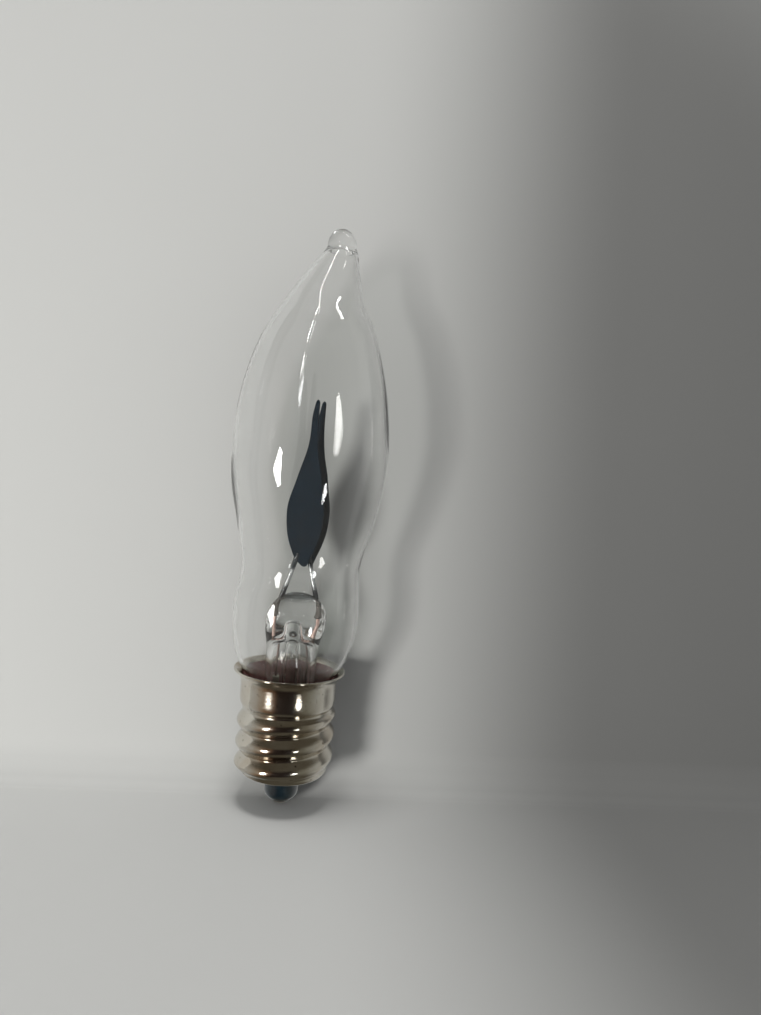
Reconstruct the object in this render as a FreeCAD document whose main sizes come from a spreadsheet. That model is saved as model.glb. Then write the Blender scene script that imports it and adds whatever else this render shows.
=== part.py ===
import FreeCAD, Part
import math
import os
import re
import Sketcher

from FreeCAD import Placement, Rotation, Vector

# Flicker flame bulb on a small screw cap. The cap's axis is +Z with the glass tip upwards, and the
# origin is the tip of the centre contact. The glass tip bends towards +X, and -Y is the front.

# Driving dimensions in millimetres, or degrees for an angle.
SIZES = {
    # Screw shell, pressed from thin sheet: foot, rolled thread, plain band, turned-out lip
    "thread_pitch": 2.54,
    "crest_radius": 5.80,
    "root_radius": 5.15,
    "crest_height": 7.40,
    "thread_fade": 0.70,
    "sheet_wall": 0.25,
    "band_radius": 5.62,
    "band_height": 2.50,
    "lip_radius": 6.50,
    "lip_height": 1.40,
    "lip_angle": 75.0,
    "cap_height": 16.00,
    "foot_height": 3.80,
    "foot_corner": 0.70,
    "foot_opening": 3.60,
    # Black glass insulator and the contact at its end
    "insulator_depth": 1.10,
    "insulator_clearance": 0.10,
    "nose_radius": 2.00,
    "nose_length": 0.70,
    "contact_radius": 1.30,
    "contact_lift": 0.10,
    "solder_radius": 0.60,
    "solder_flat": 0.46,
    "lead_hole": 0.30,
    # Glass envelope: wall, and how far each ring stands above the one below it
    "glass_wall": 0.55,
    "neck_end": 9.80,
    "neck_radius": 4.50,
    "neck_length": 3.20,
    "throat_rise": 2.00,
    "throat_radius": 5.00,
    "collar_rise": 2.00,
    "collar_radius": 6.26,
    "cheek_rise": 2.20,
    "cheek_radius": 7.02,
    "bulge_rise": 3.30,
    "bulge_radius": 7.44,
    "waist_rise": 5.50,
    "waist_radius": 6.92,
    "flank_rise": 6.00,
    "flank_radius": 8.13,
    "belly_rise": 7.80,
    "belly_radius": 9.12,
    "shoulder_rise": 8.20,
    "shoulder_radius": 8.16,
    "brow_rise": 5.60,
    "brow_radius": 6.42,
    "bend_rise": 3.00,
    "bend_radius": 4.70,
    "taper_rise": 3.60,
    "taper_radius": 3.10,
    "mouth_rise": 3.20,
    "mouth_radius": 1.70,
    "bead_rise": 0.55,
    "bead_radius": 1.65,
    # How far the middle of the glass stands towards +X at its neck, belly, brow, bend, taper and tip
    "neck_lean": 0.10,
    "belly_lean": 0.60,
    "brow_lean": 0.82,
    "bend_lean": 0.97,
    "taper_lean": 1.72,
    "mouth_lean": 2.45,
    # Stem: flared glass tube with a flat press at its top
    "tube_radius": 3.05,
    "tube_bore": 2.30,
    "flare_height": 3.70,
    "flare_bore": 3.15,
    "roof_height": 19.90,
    "press_foot": 18.60,
    "press_height": 6.60,
    "press_half_width": 3.40,
    "press_half_depth": 1.55,
    "press_lean": 0.42,
    "blowhole_radius": 0.50,
    "blowhole_rise": 1.80,
    "blowhole_exit_radius": 0.40,
    "blowhole_exit_drop": 0.60,
    # Exhaust tube inside the stem, with its melted lower tip
    "exhaust_radius": 1.05,
    "exhaust_bore": 0.55,
    "exhaust_foot": 10.40,
    # Two flame electrodes, parallel plates turned about the axis
    "plate_height": 18.80,
    "plate_foot": 29.00,
    "plate_half_width": 2.30,
    "plate_thickness": 0.20,
    "plate_spacing": 2.00,
    "plate_turn": 22.0,
    "plate_lean": 0.85,
    # Support wires, press leads and their knots
    "support_radius": 0.27,
    "support_foot": 22.30,
    "support_bend": 24.60,
    "support_bend_radius": 3.00,
    "knot_radius": 0.42,
    "dumet_radius": 0.20,
    "left_tab": -0.74,
    "right_tab": 0.31,
    "left_press_entry": -1.62,
    "right_press_entry": 2.50,
    "left_knot": -1.95,
    "right_knot": 2.62,
    "left_exit": -1.80,
    "right_exit": 2.00,
    # Left lead below the stem's roof, right lead round the neck's end, under the cement and out at the lip
    "lead_radius": 0.125,
    "lead_bend_radius": 1.00,
    "lead_gather": 1.60,
    "sleeve_tail": 0.60,
    "lead_flare_gap": 0.50,
    "lead_swing": 0.60,
    "lead_cross": 1.60,
    "lead_cross_inset": 0.70,
    "lead_dip": 0.80,
    "lead_pinch_foot": 0.40,
    "lead_standoff": 0.165,
    "lead_lip_start": 0.20,
    "lead_lip_slope": 0.15,
    "lead_lip_reach": 0.58,
    # Ballast resistor, its leads and the sleeve inside the cap
    "resistor_radius": 0.95,
    "resistor_end_radius": 1.15,
    "resistor_end_length": 1.30,
    "resistor_length": 5.60,
    "resistor_height": 7.30,
    "resistor_offset": -0.90,
    "resistor_lead_radius": 0.225,
    "resistor_lead_reach": 0.90,
    "resistor_lead_bend": 0.50,
    "contact_lead_height": 5.65,
    "splice_height": 8.75,
    "splice_radius": 0.45,
    "sleeve_radius": 0.40,
    "sleeve_clearance": 0.05,
    "sleeve_foot": 11.00,
    "sleeve_length": 4.20,
    # Basing cement and the solder at the lip
    "cement_foot": 12.40,
    "cement_height": 2.20,
    "cement_clearance": 0.05,
    "side_solder_radius": 0.55,
    "side_solder_inset": 0.50,
}

# Rings in a turn of thread, and steps round a corner or the lip
RINGS_PER_TURN = 12
CORNER_STEPS = 4

# How far a cutting piece goes past the face that it cuts
PAST = 1

# Flame outline: height as a share of the plate's, and distance from its middle as a share of half its width
FLAME_LEFT = [
    (0.00, -0.44), (0.06, -0.50), (0.12, -0.72), (0.24, -0.99), (0.31, -0.99), (0.39, -0.88),
    (0.54, -0.49), (0.66, -0.16), (0.73, -0.05), (0.82, -0.02), (0.93, 0.06), (1.00, 0.26),
]
FLAME_RIGHT = [
    (1.00, 0.26), (0.97, 0.37), (0.85, 0.35), (0.76, 0.38), (0.70, 0.46), (0.55, 0.72),
    (0.40, 0.91), (0.33, 1.00), (0.27, 0.99), (0.12, 0.76), (0.04, 0.44), (0.00, 0.35),
]

doc = FreeCAD.newDocument("flame_bulb")
sheet = doc.addObject("Spreadsheet::Sheet", "Sizes")
for row, (alias, size) in enumerate(SIZES.items(), start=1):
    sheet.set(f"A{row}", alias)
    sheet.set(f"B{row}", str(size))
    sheet.setAlias(f"B{row}", alias)
doc.recompute()

NODES = []


def bound(text):
    """The expression with every size's name led by the name of the table that holds it."""
    return re.sub(r"[a-z]+(?:_[a-z]+)+", lambda word: "Sizes." + word.group(), text)


def number(text):
    """What the expression gives, as a plain number."""
    return float(sheet.evalExpression(bound(text)))


def made(kind, name, at=(), **sizes):
    """A simple shape whose sizes, and place where one is given, follow the driving dimensions."""
    thing = doc.addObject(kind, name)
    for size, text in sizes.items():
        thing.setExpression(size, bound(text))
    for axis, text in zip("xyz", at):
        thing.setExpression("Placement.Base." + axis, bound(text))
    return thing


def fused(name, *pieces):
    thing = doc.addObject("Part::MultiFuse", name)
    thing.Shapes = list(pieces)
    return thing


def shared(name, *pieces):
    thing = doc.addObject("Part::MultiCommon", name)
    thing.Shapes = list(pieces)
    return thing


def cut(name, base, *tools):
    """The base without the tools, taken away one after another."""
    for count, tool in enumerate(tools, start=1):
        thing = doc.addObject("Part::Cut", name if count == len(tools) else f"{name}_{count}")
        thing.Base = base
        thing.Tool = tool
        base = thing
    return base


def node(label, thing):
    """Gives a finished piece its node's name."""
    thing.Label = label
    NODES.append(thing)
    return thing


def lofted(name, rings):
    """A smooth solid through round or oval rings, each (radius along X, radius along Y, x, y, z)."""
    sections = []
    for count, (wide, deep, x, y, z) in enumerate(rings):
        ring = made("Part::Ellipse", f"{name}_ring_{count}", (x, y, z), MajorRadius=wide, MinorRadius=deep)
        sections.append(ring)
    loft = doc.addObject("Part::Loft", name)
    loft.Sections = sections
    loft.Solid = True
    return loft


def rounded_path(points, bend):
    """Straight runs joined by tangent arcs of radius bend, or less where a run is short."""
    longest_share = 0.45
    edges = []
    start = points[0]
    for before, corner, after in zip(points, points[1:], points[2:]):
        towards = (before - corner).normalize()
        onwards = (after - corner).normalize()
        half_turn = (math.pi - towards.getAngle(onwards)) / 2
        run = min((before - corner).Length, (after - corner).Length)
        reach = min(bend * math.tan(half_turn), longest_share * run)
        inward = (towards + onwards).normalize()
        radius = reach / math.tan(half_turn)
        middle = corner + inward * (radius / math.cos(half_turn) - radius)
        first = corner + towards * reach
        last = corner + onwards * reach
        edges.append(Part.LineSegment(start, first).toShape())
        edges.append(Part.Arc(first, middle, last).toShape())
        start = last
    edges.append(Part.LineSegment(start, points[-1]).toShape())
    return Part.Wire(edges)


def round_wire(name, points, radius, bend="lead_bend_radius"):
    """A round wire: a circle carried along straight runs that turn in arcs of the bend's radius."""
    points = [Vector(*point) for point in points]
    path = doc.addObject("Part::Feature", name + "_path")
    path.Shape = rounded_path(points, number(bend))
    ring = doc.addObject("Part::Circle", name + "_ring")
    ring.setExpression("Radius", bound(radius))
    ring.Placement = Placement(points[0], Rotation(Vector(0, 0, 1), points[1] - points[0]))
    sweep = doc.addObject("Part::Sweep", name)
    sweep.Sections = [ring]
    sweep.Spine = (path, [f"Edge{count + 1}" for count in range(len(path.Shape.Edges))])
    sweep.Solid = True
    sweep.Frenet = False
    return sweep


# Screw shell
FOOT_TOP = "(foot_height + foot_corner)"
BAND_TOP = "(cap_height - lip_height)"
BAND_FOOT = "(cap_height - lip_height - band_height)"
THREAD_MEAN = "((crest_radius + root_radius) / 2)"
THREAD_HALF_DEPTH = "((crest_radius - root_radius) / 2)"


def smooth(share):
    share = min(max(share, 0.0), 1.0)
    return share * share * (3 - 2 * share)


def shell_rings(inset):
    """Rings of the shell's skin, set in by an amount from the outer one.

    A round thread cut level is a circle set off the axis by half the thread's depth, and that offset
    turns once in each pitch. The offset fades to nothing at the foot and at the plain band.
    """
    corner = f"(foot_corner - {inset})"
    rings = []
    for step in range(CORNER_STEPS + 1):
        angle = 90 - 90 * step / CORNER_STEPS
        radius = f"root_radius - {inset} - {corner} * (1 - cos({angle}))"
        rings.append((radius, radius, "0", "0", f"foot_height + {inset} + {corner} * (1 - sin({angle}))"))

    foot_top = number(FOOT_TOP)
    band_foot = number(BAND_FOOT)
    fade = number("thread_fade")
    count = round((band_foot - foot_top) / number("thread_pitch") * RINGS_PER_TURN)
    for step in range(1, count):
        share = step / count
        height = foot_top + share * (band_foot - foot_top)
        rising = smooth((height - foot_top) / fade)
        falling = smooth((band_foot - height) / fade)
        depth = rising * falling
        radius = (
            f"root_radius + {depth} * ({THREAD_MEAN} - root_radius)"
            f" + {smooth(1 - (band_foot - height) / fade)} * (band_radius - root_radius) - {inset}"
        )
        level = f"{FOOT_TOP} + {share} * ({BAND_FOOT} - {FOOT_TOP})"
        turn = f"(180 + 360 * ({level} - crest_height) / thread_pitch)"
        offset = f"{depth} * {THREAD_HALF_DEPTH}"
        rings.append((radius, radius, f"{offset} * cos{turn}", f"{offset} * sin{turn}", level))

    band = f"band_radius - {inset}"
    for share in (0.0, 0.5):
        rings.append((band, band, "0", "0", f"{BAND_FOOT} + {share} * band_height"))
    for step in range(CORNER_STEPS + 1):
        angle = f"(lip_angle * {step / CORNER_STEPS})"
        flare = f"(lip_radius - band_radius) * (1 - cos{angle}) / (1 - cos(lip_angle))"
        radius = f"band_radius - {inset} + {flare}"
        rings.append((radius, radius, "0", "0", f"{BAND_TOP} + lip_height * sin{angle} / sin(lip_angle)"))
    return rings


shell_outside = lofted("shell_outside", shell_rings("0"))
shell_inside = lofted("shell_inside", shell_rings("sheet_wall"))
foot_hole = made(
    "Part::Cylinder",
    "foot_hole",
    ("0", "0", f"foot_height - {PAST}"),
    Radius="foot_opening",
    Height=f"sheet_wall + 2 * {PAST}",
)
screw_shell = node("screw_shell", cut("shell_cut", shell_outside, shell_inside, foot_hole))

# Black glass insulator: a disc on the shell's foot, a plug in its opening and a round nose below
FLANGE_TOP = "(foot_height + sheet_wall)"
insulator_disc = made(
    "Part::Cylinder",
    "insulator_disc",
    ("0", "0", FLANGE_TOP),
    Radius="root_radius - foot_corner - insulator_clearance",
    Height="insulator_depth",
)
insulator_plug = made(
    "Part::Cylinder", "insulator_plug", ("0", "0", "foot_height"), Radius="foot_opening", Height="sheet_wall"
)
insulator_cone = made(
    "Part::Cone",
    "insulator_cone",
    ("0", "0", "nose_radius + nose_length"),
    Radius1="nose_radius",
    Radius2="foot_opening - insulator_clearance",
    Height="foot_height - nose_radius - nose_length",
)
nose_barrel = made(
    "Part::Cylinder", "nose_barrel", ("0", "0", "nose_radius"), Radius="nose_radius", Height="nose_length"
)
nose_ball = made("Part::Sphere", "nose_ball", ("0", "0", "nose_radius"), Radius="nose_radius")
CONTACT_TOP = "(nose_radius - sqrt(nose_radius ^ 2 - contact_radius ^ 2))"
below_nose = made(
    "Part::Cylinder",
    "below_nose",
    ("0", "0", f"-{PAST}"),
    Radius=f"nose_radius + {PAST}",
    Height=f"{CONTACT_TOP} + {PAST}",
)
lead_way = made(
    "Part::Cylinder",
    "lead_way",
    ("0", "0", f"-{PAST}"),
    Radius="lead_hole",
    Height=f"{FLANGE_TOP} + insulator_depth + 2 * {PAST}",
)
insulator_blank = fused(
    "insulator_blank", insulator_disc, insulator_plug, insulator_cone, nose_barrel, nose_ball
)
node("insulator", cut("insulator_cut", insulator_blank, below_nose, lead_way))

# Centre contact: the metal cap on the nose, with a hole for the lead, and the solder that fills it
SOLDER_TOP = "(2 * contact_lift)"
contact_slice = made(
    "Part::Cylinder",
    "contact_slice",
    ("0", "0", "contact_lift"),
    Radius="contact_radius",
    Height=f"{CONTACT_TOP} - contact_lift",
)
contact_ball = made("Part::Sphere", "contact_ball", ("0", "0", "nose_radius"), Radius="nose_radius")
contact_blank = shared("contact_blank", contact_slice, contact_ball)
node("centre_contact", cut("contact_cut", contact_blank, lead_way))
solder_plug = made(
    "Part::Cylinder",
    "solder_plug",
    ("0", "0", "contact_lift"),
    Radius="lead_hole",
    Height=f"{SOLDER_TOP} - contact_lift",
)
solder_button = made(
    "Part::Cone", "solder_button", Radius1="solder_flat", Radius2="solder_radius", Height="contact_lift"
)
node("centre_solder", fused("solder_fuse", solder_plug, solder_button))

# Glass envelope: neck, bulge, waist, belly and bent tip as one blown wall, closed by a solid bead.
# Each ring has its radius, its rise above the ring below, and how far its middle stands towards +X.
# From the collar up to the belly the middle comes over little by little.


def lean_share(share):
    """How far the glass stands over where it has made this share of its way from the neck to the belly."""
    return f"neck_lean + {share} * (belly_lean - neck_lean)"


ENVELOPE = [
    ("neck_radius", "0", "neck_lean"),
    ("neck_radius", "neck_length / 2", "neck_lean"),
    ("neck_radius", "neck_length / 2", "neck_lean"),
    ("throat_radius", "throat_rise", "neck_lean"),
    ("collar_radius", "collar_rise", "neck_lean"),
    ("cheek_radius", "cheek_rise", lean_share(0.2)),
    ("bulge_radius", "bulge_rise", lean_share(0.4)),
    ("waist_radius", "waist_rise", lean_share(0.75)),
    ("flank_radius", "flank_rise", lean_share(0.95)),
    ("belly_radius", "belly_rise", "belly_lean"),
    ("shoulder_radius", "shoulder_rise", "belly_lean"),
    ("brow_radius", "brow_rise", "brow_lean"),
    ("bend_radius", "bend_rise", "bend_lean"),
    ("taper_radius", "taper_rise", "taper_lean"),
    ("mouth_radius", "mouth_rise", "mouth_lean"),
]


def envelope_rings(inset):
    """Rings of the glass, each raised from the one below it, set in by an amount from the outer skin."""
    rings = []
    level = "neck_end"
    for radius, rise, lean in ENVELOPE:
        level = f"{level} + {rise}"
        rings.append((f"{radius} - {inset}", f"{radius} - {inset}", lean, "0", level))
    return rings


glass_outside = lofted("glass_outside", envelope_rings("0"))
glass_inside = lofted("glass_inside", envelope_rings("glass_wall"))
MOUTH_HEIGHT = envelope_rings("0")[-1][4]
bead = made("Part::Sphere", "bead", ("mouth_lean", "0", f"{MOUTH_HEIGHT} + bead_rise"), Radius="bead_radius")
node("envelope", fused("envelope_fuse", cut("glass_wall", glass_outside, glass_inside), bead))

# Flame electrodes, and the support wires from their feet into the press, each ending in a weld knot
TURN = math.radians(number("plate_turn"))

# Share of a plate's distance from the middle that its wire still has where it bends at the press
BEND_SHARE = 0.12


def on_plate(across, side, height):
    """A point on a plate: its distance from the plate's middle, the plate's side, and its height."""
    apart = side * number("plate_spacing") / 2
    x = number("plate_lean") + across * math.cos(TURN) + apart * math.sin(TURN)
    y = -across * math.sin(TURN) + apart * math.cos(TURN)
    return x, y, height


def electrode(label, side):
    """A flame-shaped plate, with its thickness shared evenly by both sides of its middle plane."""
    body = doc.addObject("PartDesign::Body", label + "_body")
    sketch = body.newObject("Sketcher::SketchObject", label + "_outline")
    plane = next(origin for origin in body.Origin.OriginFeatures if origin.Role == "XZ_Plane")
    sketch.AttachmentSupport = [(plane, "")]
    sketch.MapMode = "FlatFace"
    high = number("plate_height")
    half = number("plate_half_width")
    edges = []
    for shares in (FLAME_LEFT, FLAME_RIGHT):
        points = [Vector(across * half, up * high, 0) for up, across in shares]
        edge = Part.BSplineCurve()
        edge.interpolate(Points=points)
        edges.append((edge, points))
    for edge, _ in edges:
        sketch.addGeometry(edge)
    sketch.addGeometry(Part.LineSegment(edges[1][1][-1], edges[0][1][0]))
    for before, after in ((0, 1), (1, 2), (2, 0)):
        sketch.addConstraint(Sketcher.Constraint("Coincident", before, 2, after, 1))
    pad = body.newObject("PartDesign::Pad", label + "_pad")
    pad.Profile = sketch
    pad.setExpression("Length", bound("plate_thickness"))
    pad.Midplane = True
    body.Tip = pad
    x, y, z = on_plate(0, side, number("plate_foot"))
    body.Placement = Placement(Vector(x, y, z), Rotation(Vector(0, 0, 1), -number("plate_turn")))
    return node(label, body)


electrode_front = electrode("electrode_front", -1)
electrode_rear = electrode("electrode_rear", 1)


def electrical_side(side, tab, entry, knot, leave):
    """The points where one side's wires start, turn and end: plate, press entry, knot and press exit."""
    plate = on_plate(number(tab), side, number("plate_foot"))
    bend = (number(entry), BEND_SHARE * plate[1], number("support_bend"))
    joint = (number(knot), 0, number("support_foot"))
    foot = (number(leave), 0, number("roof_height"))
    return plate, bend, joint, foot


FRONT = electrical_side(-1, "left_tab", "left_press_entry", "left_knot", "left_exit")
REAR = electrical_side(1, "right_tab", "right_press_entry", "right_knot", "right_exit")


def support_wire(label, points, press_lead, plate_node):
    """A straight wire bent once at the press, with a round knot at its foot."""
    plate, bend, joint, _ = points
    wire = round_wire(label + "_rod", (plate, bend, joint), "support_radius", "support_bend_radius")
    knot = made("Part::Sphere", label + "_knot", Radius="knot_radius")
    knot.Placement = Placement(Vector(*joint), Rotation())
    return node(label, cut(label + "_cut", fused(label + "_fuse", wire, knot), press_lead, plate_node))


dumet_left = node("press_lead_left", round_wire("dumet_left", FRONT[2:], "dumet_radius"))
dumet_right = node("press_lead_right", round_wire("dumet_right", REAR[2:], "dumet_radius"))
support_left = support_wire("support_wire_left", FRONT, dumet_left, electrode_front)
support_right = support_wire("support_wire_right", REAR, dumet_right, electrode_rear)

# Stem: flared tube closed by a flat press, with the wires and the blow-hole through it
STEM_LEAN = "neck_lean"

# Ovals of the press: shares of its height, of its half width, of its half depth and of its lean
PRESS_OVALS = [
    (0.25, 0.94, 1.55, 0.3),
    (0.50, 1.00, 1.12, 0.8),
    (0.75, 0.98, 1.00, 1.0),
    (0.91, 0.82, 0.74, 1.0),
    (1.00, 0.46, 0.34, 1.0),
]
press_rings = [("tube_radius", "tube_radius", STEM_LEAN, "0", "press_foot")]
for high, wide, deep, lean in PRESS_OVALS:
    press_rings.append(
        (
            f"{wide} * press_half_width",
            f"{deep} * press_half_depth",
            f"{STEM_LEAN} + {lean} * (press_lean - {STEM_LEAN})",
            "0",
            f"press_foot + {high} * press_height",
        )
    )
press = lofted("press", press_rings)
FLARE_TOP = "(neck_end + flare_height)"
stem_tube = made(
    "Part::Cylinder",
    "stem_tube",
    (STEM_LEAN, "0", FLARE_TOP),
    Radius="tube_radius",
    Height=f"press_foot - {FLARE_TOP}",
)
flare = made(
    "Part::Cone",
    "flare",
    (STEM_LEAN, "0", "neck_end"),
    Radius1="neck_radius",
    Radius2="tube_radius",
    Height="flare_height",
)
bore = made(
    "Part::Cylinder",
    "bore",
    (STEM_LEAN, "0", FLARE_TOP),
    Radius="tube_bore",
    Height=f"roof_height - {FLARE_TOP}",
)
flare_hollow = made(
    "Part::Cone",
    "flare_hollow",
    (STEM_LEAN, "0", "neck_end"),
    Radius1="flare_bore",
    Radius2="tube_bore",
    Height="flare_height",
)
blowhole = made(
    "Part::Cylinder",
    "blowhole",
    (STEM_LEAN, "0", "roof_height"),
    Radius="blowhole_radius",
    Height="blowhole_rise",
)
blowhole_exit = made(
    "Part::Cylinder",
    "blowhole_exit",
    (STEM_LEAN, "0", "roof_height + blowhole_rise - blowhole_exit_drop"),
    Radius="blowhole_exit_radius",
    Height="tube_radius",
)
blowhole_exit.Placement.Rotation = Rotation(Vector(1, 0, 0), -90)
flare_in_neck = shared("flare_in_neck", flare, glass_inside)
stem_blank = fused("stem_blank", flare_in_neck, stem_tube, press)
stem = node(
    "stem",
    cut(
        "stem_cut",
        stem_blank,
        bore,
        flare_hollow,
        blowhole,
        blowhole_exit,
        dumet_left,
        dumet_right,
        support_left,
        support_right,
    ),
)

# Exhaust tube: hangs from the stem's roof, with a round melted tip
exhaust_rod = made(
    "Part::Cylinder",
    "exhaust_rod",
    (STEM_LEAN, "0", "exhaust_foot"),
    Radius="exhaust_radius",
    Height="roof_height - exhaust_foot",
)
exhaust_tip = made("Part::Sphere", "exhaust_tip", (STEM_LEAN, "0", "exhaust_foot"), Radius="exhaust_radius")
exhaust_hollow = made(
    "Part::Cylinder",
    "exhaust_hollow",
    (STEM_LEAN, "0", "exhaust_foot"),
    Radius="exhaust_bore",
    Height=f"roof_height - exhaust_foot + {PAST}",
)
node("exhaust_tube", cut("exhaust_cut", fused("exhaust_blank", exhaust_rod, exhaust_tip), exhaust_hollow))

# Ballast resistor lying across the cap: a dumb-bell body and two bent leads
RESISTOR_END = "(resistor_length / 2)"


def resistor_rod(name, start, radius, length):
    """A round rod along X, on the resistor's own line."""
    place = (start, "resistor_offset", "resistor_height")
    rod = made("Part::Cylinder", name, place, Radius=radius, Height=length)
    rod.Placement.Rotation = Rotation(Vector(0, 1, 0), 90)
    return rod


resistor_core = resistor_rod("resistor_core", f"-{RESISTOR_END}", "resistor_radius", "resistor_length")
resistor_caps = [
    resistor_rod(name, start, "resistor_end_radius", "resistor_end_length")
    for name, start in (
        ("resistor_left_end", f"-{RESISTOR_END}"),
        ("resistor_right_end", f"{RESISTOR_END} - resistor_end_length"),
    )
]
node("ballast_resistor", fused("resistor_fuse", resistor_core, *resistor_caps))

end_x = number(RESISTOR_END)
elbow_x = number(f"{RESISTOR_END} + resistor_lead_reach")
row_y = number("resistor_offset")
rod_z = number("resistor_height")
splice_z = number("splice_height")
low_z = number("contact_lead_height")
splice = (-elbow_x, row_y, splice_z)
resistor_lead_in = node(
    "resistor_lead_in",
    round_wire(
        "lead_in",
        ((-end_x, row_y, rod_z), (-elbow_x, row_y, rod_z), splice),
        "resistor_lead_radius",
        "resistor_lead_bend",
    ),
)
node(
    "resistor_lead_out",
    round_wire(
        "lead_out",
        (
            (end_x, row_y, rod_z),
            (elbow_x, row_y, rod_z),
            (elbow_x, row_y / 2, low_z),
            (0, 0, low_z),
            (0, 0, number(SOLDER_TOP)),
        ),
        "resistor_lead_radius",
        "resistor_lead_bend",
    ),
)

# Outer leads: the left one to the resistor through its sleeve, the right one round the neck to the lip
SLEEVE_X = "(neck_lean - (exhaust_radius + tube_bore) / 2)"
sleeve_x = number(SLEEVE_X)
lead_left = round_wire(
    "lead_left",
    (
        FRONT[3],
        (sleeve_x, 0, number("roof_height - lead_gather")),
        (sleeve_x, 0, number("sleeve_foot - sleeve_tail")),
        splice,
    ),
    "lead_radius",
)
outer_left = node("outer_lead_left", cut("lead_left_cut", lead_left, stem, dumet_left, resistor_lead_in))

# Shares of the right lead's dip below the neck: at the flare's edge, and where it turns up again
DIP_BEFORE = 0.6
DIP_AFTER = 0.4
gap_radius = number("(neck_radius + root_radius - sheet_wall) / 2")
pinch_radius = number("band_radius - sheet_wall - lead_standoff")
lead_right = round_wire(
    "lead_right",
    (
        REAR[3],
        (number("right_exit"), 0, number(FLARE_TOP)),
        (
            number("flare_bore - lead_flare_gap"),
            number("lead_swing"),
            number(f"neck_end - {DIP_BEFORE} * lead_dip"),
        ),
        (number("lead_cross"), gap_radius - number("lead_cross_inset"), number("neck_end - lead_dip")),
        (0, gap_radius, number(f"neck_end - {DIP_AFTER} * lead_dip")),
        (0, gap_radius, number("cement_foot - lead_pinch_foot")),
        (0, pinch_radius, number(f"{BAND_TOP} - lead_lip_start")),
        (0, pinch_radius + number("lead_lip_slope"), number(f"{BAND_TOP} + lip_height / 2")),
        (0, pinch_radius + number("lead_lip_reach"), number("cap_height - lead_radius")),
    ),
    "lead_radius",
)
outer_right = node("outer_lead_right", cut("lead_right_cut", lead_right, stem, dumet_right, screw_shell))

splice_ball = made("Part::Sphere", "splice_ball", Radius="splice_radius")
splice_ball.Placement = Placement(Vector(*splice), Rotation())
node("splice_solder", cut("splice_cut", splice_ball, resistor_lead_in, outer_left))

sleeve_rod = made(
    "Part::Cylinder",
    "sleeve_rod",
    (SLEEVE_X, "0", "sleeve_foot"),
    Radius="sleeve_radius",
    Height="sleeve_length",
)
sleeve_hole = made(
    "Part::Cylinder",
    "sleeve_hole",
    (SLEEVE_X, "0", f"sleeve_foot - {PAST}"),
    Radius="lead_radius + sleeve_clearance",
    Height=f"sleeve_length + 2 * {PAST}",
)
node("lead_sleeve", cut("sleeve_cut", sleeve_rod, sleeve_hole))

# Basing cement between the neck and the plain band, and the solder of the side lead at the lip
cement_ring = made(
    "Part::Cylinder",
    "cement_ring",
    ("0", "0", "cement_foot"),
    Radius="band_radius - sheet_wall - cement_clearance",
    Height="cement_height",
)
node("basing_cement", cut("cement_cut", cement_ring, glass_outside, outer_right))
side_ball = made(
    "Part::Sphere",
    "side_ball",
    ("0", "lip_radius - side_solder_inset", "cap_height"),
    Radius="side_solder_radius",
)
node("side_solder", cut("side_cut", side_ball, screw_shell, glass_outside, outer_right))

doc.recompute()

for thing in doc.Objects:
    if "Invalid" in thing.State or "Error" in thing.State:
        raise RuntimeError(f"{thing.Label} failed: {thing.State}")
for piece in NODES:
    if piece.Shape.isNull() or not piece.Shape.isValid():
        raise RuntimeError(f"{piece.Label} has no valid shape")
    if len(piece.Shape.Solids) != 1:
        raise RuntimeError(f"{piece.Label} has {len(piece.Shape.Solids)} solids")

os.makedirs("parts", exist_ok=True)
for piece in NODES:
    piece.Shape.exportStep(f"parts/{piece.Label}.step")
    box = piece.Shape.BoundBox
    print(
        f"{piece.Label}: volume {piece.Shape.Volume:.2f}"
        f" x {box.XMin:.2f} {box.XMax:.2f} y {box.YMin:.2f} {box.YMax:.2f} z {box.ZMin:.2f} {box.ZMax:.2f}"
    )
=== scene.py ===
import math

import bpy
import numpy as np
from mathutils import Matrix, Vector


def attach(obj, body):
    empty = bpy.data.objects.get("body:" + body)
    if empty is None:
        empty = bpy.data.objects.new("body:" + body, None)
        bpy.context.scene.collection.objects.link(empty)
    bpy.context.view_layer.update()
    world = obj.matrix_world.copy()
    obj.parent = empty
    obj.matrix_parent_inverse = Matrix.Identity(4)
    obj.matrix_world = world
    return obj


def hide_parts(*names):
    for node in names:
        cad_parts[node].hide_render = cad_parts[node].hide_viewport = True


# Flicker flame bulb: clear blown glass with a bent tip, two dark flame plates on wires above a pinched
# stem, and a small plated screw cap. Sizes are in millimetres and angles in degrees, z is the height
# above the centre contact, and "lean" is how far a ring's middle stands towards +X.

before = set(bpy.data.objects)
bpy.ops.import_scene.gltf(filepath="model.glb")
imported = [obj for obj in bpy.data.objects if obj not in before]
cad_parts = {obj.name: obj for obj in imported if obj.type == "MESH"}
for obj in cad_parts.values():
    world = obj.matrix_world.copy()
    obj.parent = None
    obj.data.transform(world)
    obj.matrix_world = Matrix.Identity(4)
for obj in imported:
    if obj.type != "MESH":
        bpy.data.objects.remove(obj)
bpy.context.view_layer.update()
mm = 0.001
fullTurn = 2 * math.pi
wallRows = 5  # rows across a wall's end, with its two corners
print("frame loaded:", len(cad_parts), "nodes")


# curves and surfaces

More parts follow.
